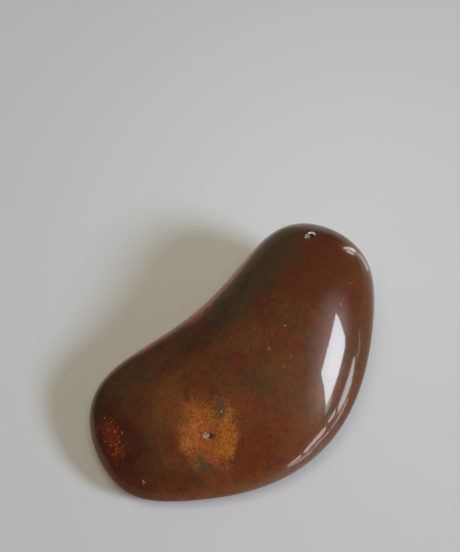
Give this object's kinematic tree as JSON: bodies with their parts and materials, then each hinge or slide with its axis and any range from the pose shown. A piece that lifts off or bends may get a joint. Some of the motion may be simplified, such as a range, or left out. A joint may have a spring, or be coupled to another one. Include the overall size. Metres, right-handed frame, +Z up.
{
  "type": "polished jasper palm stone",
  "caption": "Smooth kidney-shaped polished jasper pebble, thicker at one end, that rests on its worn belly and fits in a palm.",
  "frame": {"origin": "middle of the stone's footprint, on the surface it rests on", "axes": "+X from the thin end to the thick end, +Y towards the hollow flank, +Z up"},
  "size_m": [0.08, 0.0496, 0.0316],
  "materials": {
    "jasper": "polished"
  },
  "bodies": {
    "root": {"jasper_stone": "jasper"}
  },
  "joints": []
}
